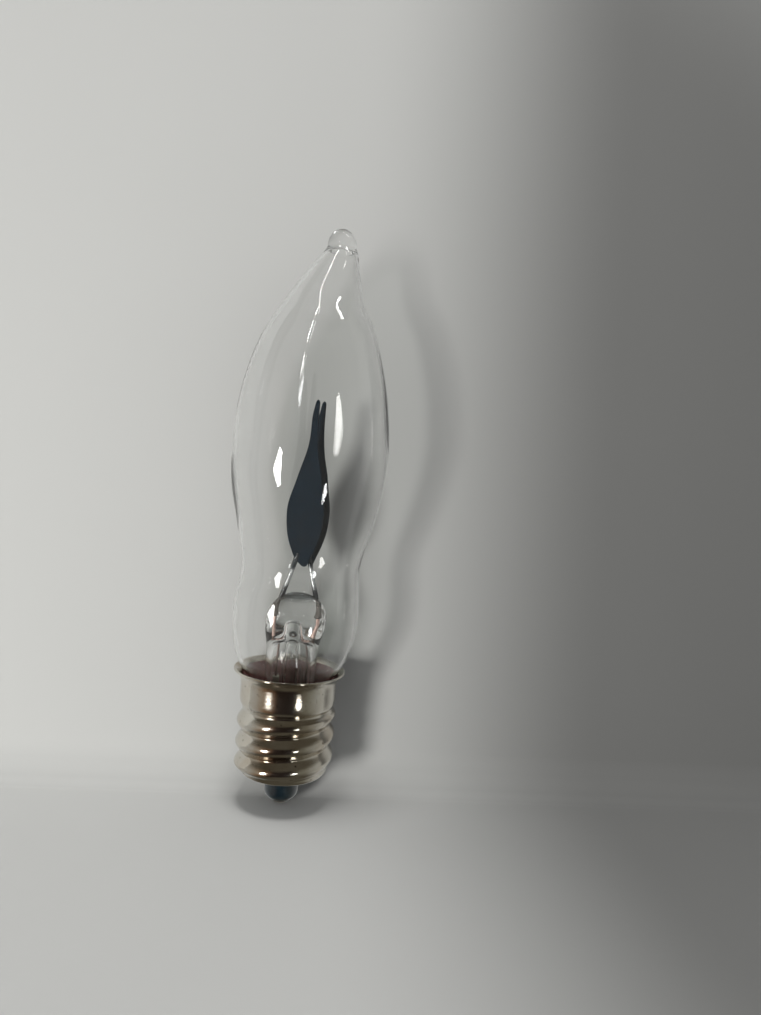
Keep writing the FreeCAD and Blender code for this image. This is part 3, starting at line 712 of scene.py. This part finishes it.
# Screw shell: a turned profile whose radius grows by the thread's depth times a rounded wave, which
# climbs one pitch in a full turn. The inside is the same surface moved in by the sheet's thickness.
def makeShell(v):
    outer = samplePath(v["profile"], v["rows"])
    slope = unit(np.gradient(outer, axis=0))
    inner = outer + np.stack([-slope[:, 1], slope[:, 0]], axis=-1) * v["wall"]
    bulge = slope * v["wall"] / 2
    lipEdge = roundEdge(outer[-1], inner[-1], bulge[-1], v["edgeRows"])
    footEdge = roundEdge(inner[0], outer[0], -bulge[0], v["edgeRows"])
    profile = np.vstack([outer, lipEdge, inner[::-1], footEdge])
    radius, height = np.split(profile, 2, axis=1)
    angle = around(v["columns"])
    phase = angle - math.pi - fullTurn * (height - v["crestHeight"]) / v["pitch"]
    wave = ((1 + np.cos(phase)) / 2) ** v["crestFullness"]
    rising = np.clip((height - v["threadFoot"]) / v["fade"], 0, 1)
    falling = np.clip((v["threadTop"] - height) / v["fade"], 0, 1)
    depth = (v["crestRadius"] - v["rootRadius"]) * rising**2 * (3 - 2 * rising)
    depth = depth * falling**2 * (3 - 2 * falling)
    radius = radius + depth * wave
    return skin("screwShell", ovals(radius, radius, height, 0, angle), "loop", 40)


# Nickel plate: slightly warm metal, dulled in patches, with dark specks, rolling marks and soft dents.
def platingFinish():
    material, tree, shader, where = newFinish("capPlating", Metallic=1.0)
    patches = noise(tree, where, 170, 5.0, 0.6)
    shades = [(0.32, (0.50, 0.43, 0.34)), (0.5, (0.64, 0.60, 0.53)), (0.72, (0.70, 0.68, 0.62))]
    colour = ramp(tree, patches, shades)
    specks = noise(tree, where, 2600, 2.0)
    grime = ramp(tree, specks, [(0.0, 1.0), (0.27, 1.0), (0.31, 0.0)])
    colour = mixColour(tree, grime, colour, (0.16, 0.11, 0.07))
    rolled = noise(tree, stretched(tree, where, (0.12, 0.12, 9.0)), 1000, 3.0, 0.6)
    rough = maths(tree, "MULTIPLY_ADD", rolled, 0.08, spread(tree, patches, 0.05, 0.15, 0.3, 0.7))
    dents = bump(tree, noise(tree, where, 330, 2.0), 0.25, 0.06)
    join(shader, Base_Color=colour, Roughness=rough, Normal=bump(tree, rolled, 0.5, 0.022, dents))
    return material


place(makeShell(shellValues), ["screw_shell"], platingFinish())
print("shell made")


# black glass insulator, centre contact and its solder

insulatorValues = {
    # radius and height round the section, from the lead hole's lower end
    "profile": [
        (0.32, 0.49), (0.80, 0.49), (1.26, 0.485), (1.40, 0.60), (1.64, 0.82), (1.85, 1.06),
        (1.96, 1.36), (2.0, 1.80), (2.01, 2.45), (2.06, 2.72), (2.35, 2.98), (2.85, 3.33),
        (3.35, 3.66), (3.56, 3.80), (3.58, 4.02), (4.30, 4.06), (4.34, 4.20), (4.33, 5.05),
        (4.22, 5.14), (2.4, 5.15), (0.45, 5.14), (0.32, 5.05), (0.31, 3.0), (0.31, 0.6),
    ],
    "step": 0.07,
    "columns": 128,
}


# Insulator: its section turned once round. Averaging each point with its neighbours softens corners.
def makeInsulator(v):
    ring = samplePolyline(v["profile"] + v["profile"][:1], v["step"])[:-1]
    softened = (np.roll(ring, 1, axis=0) + 2 * ring + np.roll(ring, -1, axis=0)) / 4
    return turned("insulatorGlass", onAxis(softened), "loop", v["columns"])


# Black glass under a clear gloss, swirled and slightly rippled by its mould.
def blackGlassFinish():
    material, tree, shader, where = newFinish("blackGlass", Coat_Weight=0.6, Coat_Roughness=0.06, IOR=1.55)
    swirl = noise(tree, where, 700, 3.0)
    colour = ramp(tree, swirl, [(0.3, (0.004, 0.009, 0.013)), (0.7, (0.011, 0.022, 0.029))])
    join(shader, Base_Color=colour, Roughness=spread(tree, swirl, 0.12, 0.3))
    pressed = noise(tree, stretched(tree, where, (3, 3, 0.4)), 520, 2.0)
    join(shader, Normal=bump(tree, pressed, 0.5, 0.06))
    return material


place(makeInsulator(insulatorValues), ["insulator"], blackGlassFinish())

contactValues = {
    # radius and height round each section
    "contact": [
        (0.30, 0.11), (0.62, 0.10), (0.72, 0.12), (1.05, 0.29), (1.27, 0.44), (1.30, 0.47),
        (1.20, 0.48), (0.31, 0.48),
    ],
    "solder": [
        (0.0, 0.0), (0.44, 0.0), (0.52, 0.03), (0.59, 0.08), (0.57, 0.12), (0.30, 0.14),
        (0.28, 0.2), (0.0, 0.2),
    ],
    "contactStep": 0.04,
    "solderStep": 0.03,
    "contactColumns": 96,
    "solderColumns": 64,
}


# Tinned metal or solder, dull in patches that stand out a little.
def tinFinish(name, pale, dull, rough):
    material, tree, shader, where = newFinish(name, Metallic=1.0)
    patches = noise(tree, where, 1400, 5.0, 0.65)
    join(shader, Base_Color=ramp(tree, patches, [(0.3, dull), (0.7, pale)]))
    rough = spread(tree, patches, rough, rough + 0.25)
    join(shader, Roughness=rough, Normal=bump(tree, patches, 0.4, 0.02))
    return material


# Contact: its closed section turned once round.
def makeContact(v):
    ring = samplePolyline(v["contact"] + v["contact"][:1], v["contactStep"])[:-1]
    return turned("contactCap", onAxis(ring), "loop", v["contactColumns"])


# Solder: a line from pole to pole turned once round.
def makeSolder(v):
    line = samplePolyline(v["solder"], v["solderStep"])
    return turned("contactSolder", onAxis(line), "poles", v["solderColumns"])


contactTin = tinFinish("contactTin", (0.74, 0.72, 0.68), (0.50, 0.48, 0.43), 0.42)
solderTin = tinFinish("solderTin", (0.70, 0.71, 0.72), (0.44, 0.44, 0.46), 0.4)
place(makeContact(contactValues), ["centre_contact"], contactTin)
place(makeSolder(contactValues), ["centre_solder"], solderTin)


# basing cement and side solder

cementValues = {
    "foot": 12.4,
    "outerTop": 15.15,
    "innerTop": 15.75,
    "shellGap": 0.04,
    "glassGap": 0.02,
    "bandRadius": 5.37,
    # the shell opens out from this height on, over this rise, by this much
    "flareFoot": 14.7,
    "flareRise": 0.45,
    "flare": 0.12,
    "filletDip": 0.2,
    # rows up the glass, across the top, down the shell and back underneath
    "rows": (30, 10, 24, 8),
    "columns": 128,
}


# Cement: a ring whose inner side follows the glass and whose top dips in a fillet to the shell.
def makeCement(v):
    rings = np.array(envelopeValues["rings"])
    innerRows, topRows, outerRows, underRows = v["rows"]
    inner = np.linspace(v["foot"], v["innerTop"], innerRows)
    glass = curveThrough(rings[:, 0], rings[:, 1:], inner)
    inside = np.column_stack([glass[:, 0] + v["glassGap"], inner, glass[:, 1]])
    outer = np.linspace(v["outerTop"], v["foot"], outerRows)
    flare = v["flare"] * np.clip((outer - v["flareFoot"]) / v["flareRise"], 0, 1) ** 2
    outside = np.column_stack([v["bandRadius"] - v["shellGap"] + flare, outer, 0 * outer])
    lowest = (inside[-1] + outside[0]) / 2 - [0, v["filletDip"], 0]
    top = curveThrough([0, 0.5, 1], [inside[-1], lowest, outside[0]], np.linspace(0, 1, topRows))[1:-1]
    under = np.linspace(outside[-1], inside[0], underRows)[1:-1]
    return turned("basingCement", np.vstack([inside, top, outside, under]), "loop", v["columns"])


# Baked cement, lumpy and matt.
def cementFinish():
    material, tree, shader, where = newFinish("bakedCement")
    lumps = noise(tree, where, 900, 5.0, 0.7)
    colour = ramp(tree, lumps, [(0.3, (0.12, 0.045, 0.042)), (0.7, (0.30, 0.13, 0.12))])
    join(shader, Base_Color=colour, Roughness=spread(tree, lumps, 0.55, 0.85))
    join(shader, Normal=bump(tree, lumps, 0.7, 0.08))
    return material


place(makeCement(cementValues), ["basing_cement"], cementFinish())

sideSolderValues = {
    "middle": (0.0, 6.0, 16.0),
    "radius": 0.5,
    "low": 15.72,
    # depth and height of the drop as shares of its radius
    "flatness": (0.9, 0.55),
    # how much its radius varies three times and twice round
    "uneven": (0.06, 0.05),
    "rows": 24,
    "columns": 40,
}


# Side solder: a flattened drop on the lip, uneven by a wave in both angles.
def makeSideSolder(v):
    rise = np.linspace(-math.pi / 2, math.pi / 2, v["rows"])[:, None]
    angle = around(v["columns"])
    thrice, twice = v["uneven"]
    deep, tall = v["flatness"]
    uneven = 1 + thrice * np.sin(3 * angle + 1) * np.cos(rise) + twice * np.sin(2 * angle)
    radius = v["radius"] * uneven
    x = v["middle"][0] + radius * np.cos(rise) * np.cos(angle)
    y = v["middle"][1] + deep * radius * np.cos(rise) * np.sin(angle)
    z = np.maximum(v["middle"][2] + tall * radius * np.sin(rise), v["low"])
    return skin("sideSolder", np.stack([x, y, z], axis=-1), "poles")


place(makeSideSolder(sideSolderValues), ["side_solder"], solderTin)
print("cap made")


# what the cap hides keeps its CAD shape and gets its real finish

# Woven sleeve, in fine uneven bands.
def sleeveFinish():
    material, tree, shader, where = newFinish("wovenSleeve", Roughness=0.9)
    bands = {"Vector": where, "Scale": 3000.0, "Distortion": 3.0}
    weave = shaderNode(tree, "TexWave", bands).outputs["Fac"]
    shades = [(0.2, (0.45, 0.42, 0.33)), (0.8, (0.75, 0.71, 0.6))]
    join(shader, Base_Color=ramp(tree, weave, shades), Normal=bump(tree, weave, 0.6, 0.03))
    return material


# Lacquered resistor body with coloured bands across its length.
def resistorFinish():
    material, tree, shader, where = newFinish("resistorLacquer", Coat_Weight=0.5)
    halfLength, blend, width = 2.8 * mm, 0.01, 0.10
    inUnit = spread(tree, along(tree, where, "X"), 0.0, 1.0, -halfLength, halfLength)
    body = (0.60, 0.42, 0.22)
    bands = [(0.12, (0.3, 0.1, 0.04)), (0.36, (0.02, 0.02, 0.02)), (0.55, (0.7, 0.22, 0.02))]
    stops = [(0.0, body)]
    for start, band in bands:
        end = start + width
        stops += [(start, body), (start + blend, band), (end - blend, band), (end, body)]
    join(shader, Base_Color=ramp(tree, inUnit, stops))
    drips = noise(tree, where, 900, 2.0)
    join(shader, Roughness=spread(tree, drips, 0.2, 0.35), Normal=bump(tree, drips, 0.3, 0.03))
    return material


hiddenFinishes = {
    "ballast_resistor": resistorFinish(),
    "resistor_lead_in": solderTin,
    "resistor_lead_out": solderTin,
    "splice_solder": solderTin,
    "lead_sleeve": sleeveFinish(),
}
for nodeName, finish in hiddenFinishes.items():
    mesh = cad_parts[nodeName].data
    mesh.materials.clear()
    mesh.materials.append(finish)
print("hidden parts finished")


# paper behind, floor, lamps and world

stageValues = {
    # the upright paper's tone, the bend's by how level it lies, and the floor's, painted lighter or
    # darker by how level the surface lies so as to even out the light on it
    "paper": (0.49, 0.495, 0.487),
    "bend": [(0.545, (0.447, 0.452, 0.444)), (0.866, (0.465, 0.47, 0.462)), (0.985, (0.54, 0.545, 0.536))],
    "floor": (0.60, 0.605, 0.595),
    # painted shadow on the right-hand side: its share of the tone, and where it starts and is complete
    "paintedShadowTone": 0.37,
    "paintedShadowSpan": (3, 42),
    "grainTone": 0.95,
    "grainScale": 25,
    # the upright paper passes this depth at this height, and leans back by this slope
    "footDepth": 5.9,
    "footHeight": 4.8,
    "tilt": 0.088,
    "half": 220.0,
    "sweepRadius": 5.0,
    "bendRows": 25,
    # the first row above the bend, as a share of the upright paper
    "seamShare": 0.03,
    "floorHeight": -0.02,
    "rearDrop": 0.03,
    # the stage fades into the world between these distances from this place
    "fadeCentre": (0, 0, 25),
    "fade": (85, 160),
}


# Stage surface: plain and lit, see-through from behind and past its fade, so that it melts into the
# world. It stops no lamp, and its level part isn't mirrored in metal and glass. The right-hand side of
# the paper is greyer by a smooth step in X, a painted shadow, and the bend's and floor's colours are
# painted lighter or darker to even out the light on them.
def stageFinish(v):
    material, tree, shader, where = newFinish("stagePaper")
    tree.nodes.remove(shader)
    geometry = tree.nodes.new("ShaderNodeNewGeometry")
    path = tree.nodes.new("ShaderNodeLightPath")
    upward = along(tree, geometry.outputs["Normal"], "Z")
    level = maths(tree, "POWER", upward, 6.0, use_clamp=True)
    grain = noise(tree, where, v["grainScale"], 4.0)
    # painted light: the tone follows how level the surface lies, to even out the light
    tone = ramp(tree, upward, [(0.0, v["paper"]), *v["bend"], (1.0, v["floor"])])
    left, right = v["paintedShadowSpan"]
    # painted shadow: the right-hand side is greyed by a smooth step in X
    paintedShadow = spread(tree, along(tree, where, "X"), 1.0, v["paintedShadowTone"], left * mm, right * mm, "SMOOTHSTEP")
    tone = shaderNode(tree, "HueSaturation", {"Color": tone, "Value": paintedShadow}).outputs["Color"]
    dimmer = shaderNode(tree, "HueSaturation", {"Color": tone, "Value": v["grainTone"]}).outputs["Color"]
    colour = mixColour(tree, grain, dimmer, tone)
    lit = shaderNode(tree, "BsdfDiffuse", {"Color": colour}).outputs["BSDF"]
    clear = shaderNode(tree, "BsdfTransparent").outputs["BSDF"]
    centre = Vector(v["fadeCentre"]) * mm
    apart = shaderNode(tree, "VectorMath", {0: where, 1: centre}, operation="DISTANCE").outputs["Value"]
    near, far = v["fade"]
    gone = spread(tree, apart, 0.0, 1.0, near * mm, far * mm, "SMOOTHSTEP")
    glossy = maths(tree, "MULTIPLY", level, path.outputs["Is Glossy Ray"])
    for hide in (geometry.outputs["Backfacing"], path.outputs["Is Shadow Ray"], glossy):
        gone = maths(tree, "MAXIMUM", gone, hide)
    mix = shaderNode(tree, "MixShader", {0: gone, 1: lit, 2: clear})
    tree.links.new(mix.outputs["Shader"], tree.nodes["Material Output"].inputs["Surface"])
    return material


# Sheet of level lines along X that follow a profile of depth and height.
def stageSheet(name, profile, half, finish):
    depth, height = np.asarray(profile, float).T
    left = np.column_stack([0 * depth - half, depth, height])
    right = np.column_stack([0 * depth + half, depth, height])
    rows = np.arange(len(depth) - 1)
    rightRows = rows + len(depth)
    faces = np.column_stack([rows, rightRows, rightRows + 1, rows + 1])
    mesh = bpy.data.meshes.new(name)
    mesh.from_pydata((np.vstack([left, right]) * mm).tolist(), [], faces.tolist())
    mesh.shade_smooth()
    mesh.materials.append(finish)
    sheet = addObject(name, mesh)


# Paper sweep: level in front, a quarter bend close behind the bulb, then up along the bulb's back,
# where it lies against the thread and the belly. A second level sheet under it carries on behind.
def makeStage(v):
    finish = stageFinish(v)
    low, radius, half, seam = v["floorHeight"], v["sweepRadius"], v["half"], v["seamShare"]
    leanBack = math.atan(v["tilt"])
    turn = math.pi / 2 - leanBack
    bendDepth = v["footDepth"] + v["tilt"] * (low - v["footHeight"]) - radius * math.tan(turn / 2)
    bend = np.linspace(0, turn, v["bendRows"])
    arc = np.column_stack([bendDepth + radius * np.sin(bend), low + radius * (1 - np.cos(bend))])
    top = arc[-1] + [half * math.sin(leanBack), half * math.cos(leanBack)]
    front = [[-half, low], [bendDepth - 2 * radius, low]]
    upright = [arc[-1] * (1 - seam) + top * seam, top]
    stageSheet("paperSweep", np.vstack([front, arc, upright]), half, finish)
    under = low - v["rearDrop"]
    stageSheet("floorBehind", [[-half, under], [half, under]], half, finish)


makeStage(stageValues)

# Each lamp has its azimuth from the front towards +X, elevation, distance, width and height, power and
# colour. It is mirrored in metal and glass, or else lights matt surfaces. Some have a kite's shape, and
# some are kept to certain pieces.
glassPieces = ["envelopeGlass", "stemGlassPress", "exhaustTube"]
besidesStem = ["envelopeGlass", "screwShell", "supportWireLeft", "supportWireRight", "insulatorGlass",
               "contactCap", "contactSolder", "plateFront", "plateRear"]
# how far a kite-shaped window reaches up and down, from its left side to its right side
kiteLeft = [(0.0, 0.0), (0.6, 1.0), (1.0, 0.8)]
kiteRight = [(0.0, 0.8), (0.4, 1.0), (1.0, 0.0)]
lampValues = {
    "softLeft": {"azimuth": -33, "elevation": -4, "distance": 220, "size": (52, 52), "power": 0.40,
                 "colour": (1.0, 0.985, 0.955), "mirrored": False},
    "windowLeft": {"azimuth": -45, "elevation": -6, "distance": 300, "size": (62, 102), "power": 0.44,
                   "colour": (1.0, 0.99, 0.96), "kite": kiteLeft},
    "stripRight": {"azimuth": 27, "elevation": -17, "distance": 320, "size": (34, 52), "power": 0.105,
                   "colour": (0.98, 0.99, 1.0), "kite": kiteRight, "pieces": besidesStem},
    "windowLow": {"azimuth": -45, "elevation": -21, "distance": 307, "size": (64, 66), "power": 0.02,
                  "colour": (1.0, 0.99, 0.96), "pieces": ["screwShell"]},
    "windowHigh": {"azimuth": 60, "elevation": 63, "distance": 300, "size": (16, 88), "power": 0.09,
                   "colour": (1.0, 0.99, 0.97), "pieces": glassPieces},
    "softAbove": {"azimuth": -15, "elevation": 79, "distance": 260, "size": (80, 80), "power": 0.34,
                  "colour": (1.0, 0.99, 0.97), "mirrored": False},
}
# a long thin lamp overhead in separate runs, each from one elevation to another
tubeValues = {
    "azimuth": -27,
    "distance": 300,
    "width": 7,
    "runs": [(31, 41), (45, 58), (62, 74), (78, 92)],
    "powerPerLength": 0.55,
    "colour": (1.0, 0.995, 0.98),
}
lampTarget = Vector((0, 0, 36)) * mm


# Kite-shaped lamp: a rectangle that shines only where it is nearer to its middle line than its reach.
def shapeKite(data, reachStops):
    data.shape = "RECTANGLE"
    data.use_nodes = True
    tree = data.node_tree
    spot = tree.nodes.new("ShaderNodeNewGeometry").outputs["Parametric"]
    reach = ramp(tree, along(tree, spot, "X"), reachStops)
    rise = spread(tree, along(tree, spot, "Y"), -1.0, 1.0)
    inside = maths(tree, "LESS_THAN", maths(tree, "ABSOLUTE", rise), reach)
    tree.links.new(inside, tree.nodes["Emission"].inputs["Strength"])


# Lamp on a sphere round the target, facing it.
def makeLamp(name, v):
    data = bpy.data.lights.new(name, "AREA")
    data.shape = "ELLIPSE"
    if "kite" in v:
        shapeKite(data, v["kite"])
    data.size, data.size_y = (side * mm for side in v["size"])
    data.energy = v["power"]
    data.color = v["colour"]
    azimuth, elevation = math.radians(v["azimuth"]), math.radians(v["elevation"])
    level = math.cos(elevation)
    out = Vector((math.sin(azimuth) * level, -math.cos(azimuth) * level, math.sin(elevation)))
    lamp = addObject(name, data)
    lamp.location = lampTarget + out * v["distance"] * mm
    mirrored = v.get("mirrored", True)
    lamp.visible_diffuse = not mirrored
    lamp.visible_glossy = lamp.visible_transmission = mirrored
    lamp.rotation_mode = "QUATERNION"
    lamp.rotation_quaternion = out.to_track_quat("Z", "Y")
    if "pieces" in v:
        lit = bpy.data.collections.new(name + "Pieces")
        for pieceName in v["pieces"]:
            lit.objects.link(bpy.data.objects[pieceName])
        lamp.light_linking.receiver_collection = lit


for lampName, lampSetting in lampValues.items():
    makeLamp(lampName, lampSetting)
for number, (low, high) in enumerate(tubeValues["runs"]):
    length = 2 * tubeValues["distance"] * math.tan(math.radians(high - low) / 2)
    run = {
        **tubeValues,
        "elevation": (low + high) / 2,
        "size": (tubeValues["width"], length),
        "power": tubeValues["powerPerLength"] * length * mm,
        "pieces": glassPieces,
    }
    makeLamp("tubeAbove" + str(number), run)

worldValues = {
    "seen": (0.44, 0.445, 0.43),
    "fill": 0.31,
    # how the dim room in front changes from left to right, for reflections
    "room": [
        (0.00, (0.40, 0.40, 0.38)), (0.07, (0.30, 0.25, 0.20)), (0.15, (0.20, 0.125, 0.075)),
        (0.24, (0.13, 0.075, 0.045)), (0.30, (0.022, 0.015, 0.012)), (0.62, (0.018, 0.014, 0.012)),
        (0.70, (0.085, 0.075, 0.055)), (0.85, (0.17, 0.165, 0.135)), (1.00, (0.34, 0.34, 0.32)),
    ],
    "ceiling": (0.085, 0.076, 0.058),
    # where the room turns pale behind, and dark overhead and underfoot, as parts of a direction
    "behind": (-0.3, 0.2),
    "overhead": (0.34, 0.62),
    "underfoot": (-0.66, -0.86),
}


# World: plain and pale for the eye, an even fill for matt surfaces, and for metal and glass a room
# that is dim in front, pale behind and dark overhead and underfoot.
def makeWorld(v):
    world = bpy.data.worlds.new("studio")
    world.use_nodes = True
    bpy.context.scene.world = world
    tree = world.node_tree
    direction = tree.nodes.new("ShaderNodeTexCoord").outputs["Generated"]
    across, depth, upward = (along(tree, direction, axis) for axis in "XYZ")
    front = ramp(tree, spread(tree, across, 0.0, 1.0, -1.0, 1.0), v["room"])
    behind = spread(tree, depth, 0.0, 1.0, *v["behind"])
    mirrored = mixColour(tree, behind, front, v["seen"])
    path = tree.nodes.new("ShaderNodeLightPath")
    bounced = mixColour(tree, path.outputs["Is Transmission Ray"], mirrored, v["seen"])
    overhead = spread(tree, upward, 0.0, 1.0, *v["overhead"])
    underfoot = spread(tree, upward, 0.0, 1.0, *v["underfoot"])
    bounced = mixColour(tree, maths(tree, "ADD", overhead, underfoot), bounced, v["ceiling"])
    filled = mixColour(tree, path.outputs["Is Diffuse Ray"], bounced, (v["fill"],) * 3)
    colour = mixColour(tree, path.outputs["Is Camera Ray"], filled, v["seen"])
    tree.links.new(colour, tree.nodes["Background"].inputs["Color"])


makeWorld(worldValues)

scene = bpy.context.scene
scene.view_settings.view_transform = "Standard"
scene.cycles.use_denoising = True
scene.cycles.caustics_reflective = False
scene.cycles.caustics_refractive = False
scene.cycles.max_bounces = 20
scene.cycles.transmission_bounces = 18
scene.cycles.transparent_max_bounces = 24
scene.cycles.glossy_bounces = 6
scene.cycles.diffuse_bounces = 4
print("stage, lamps and world made")
